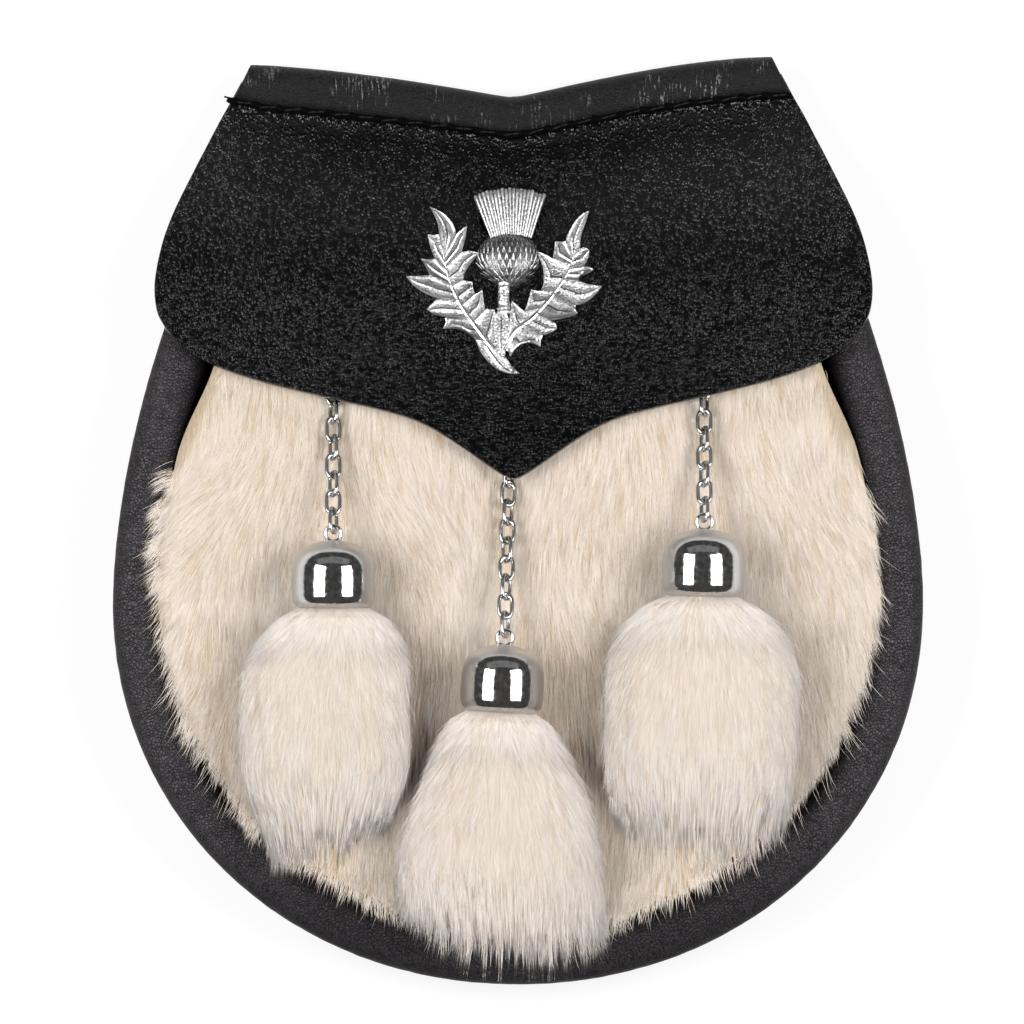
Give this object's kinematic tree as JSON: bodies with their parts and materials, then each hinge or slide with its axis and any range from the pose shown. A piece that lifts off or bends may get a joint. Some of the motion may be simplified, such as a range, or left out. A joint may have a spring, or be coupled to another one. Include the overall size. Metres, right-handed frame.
{
  "type": "sporran pouch",
  "caption": "Highland dress pouch of black leather with a white fur front, a V-shaped flap with a thistle badge, and fur tassels under domed caps on chains.",
  "frame": {"origin": "centre of the footprint on the surface that the pouch lies on", "axes": "+Z out of the pouch's front, +Y towards its bound top edge, +X to the right as seen from the front"},
  "size_m": [0.1992, 0.2279, 0.0552],
  "materials": {
    "pebbled_leather": "black, pebble grain, glossy on the grains",
    "smooth_leather": "black, soft, fine grain",
    "back_leather": "black, plain, matt",
    "rabbit_fur": "ivory rabbit fur, short and dense, on a thin hide",
    "tassel_fur": "white to cream rabbit fur, long and soft",
    "polished_chrome": "polished",
    "cast_metal": "bright cast relief"
  },
  "bodies": {
    "root": {"back_panel": "back_leather", "gusset": "back_leather", "front_panel": "back_leather", "rim_roll": "smooth_leather", "top_band": "smooth_leather", "flap": "pebbled_leather", "belt_loop_left": "back_leather", "belt_loop_right": "back_leather", "fur_panel": "rabbit_fur", "snap_stud": "polished_chrome", "thistle_badge": "cast_metal", "chain_anchor_left": "polished_chrome", "bell_left": "polished_chrome", "tassel_left": "tassel_fur", "chain_left_01": "polished_chrome", "chain_left_02": "polished_chrome", "chain_left_03": "polished_chrome", "chain_left_04": "polished_chrome", "chain_left_05": "polished_chrome", "chain_left_06": "polished_chrome", "chain_left_07": "polished_chrome", "chain_left_08": "polished_chrome", "chain_anchor_centre": "polished_chrome", "bell_centre": "polished_chrome", "tassel_centre": "tassel_fur", "chain_centre_01": "polished_chrome", "chain_centre_02": "polished_chrome", "chain_centre_03": "polished_chrome", "chain_centre_04": "polished_chrome", "chain_centre_05": "polished_chrome", "chain_centre_06": "polished_chrome", "chain_centre_07": "polished_chrome", "chain_centre_08": "polished_chrome", "chain_centre_09": "polished_chrome", "chain_centre_10": "polished_chrome", "chain_anchor_right": "polished_chrome", "bell_right": "polished_chrome", "tassel_right": "tassel_fur", "chain_right_01": "polished_chrome", "chain_right_02": "polished_chrome", "chain_right_03": "polished_chrome", "chain_right_04": "polished_chrome", "chain_right_05": "polished_chrome", "chain_right_06": "polished_chrome", "chain_right_07": "polished_chrome", "chain_right_08": "polished_chrome"}
  },
  "joints": []
}
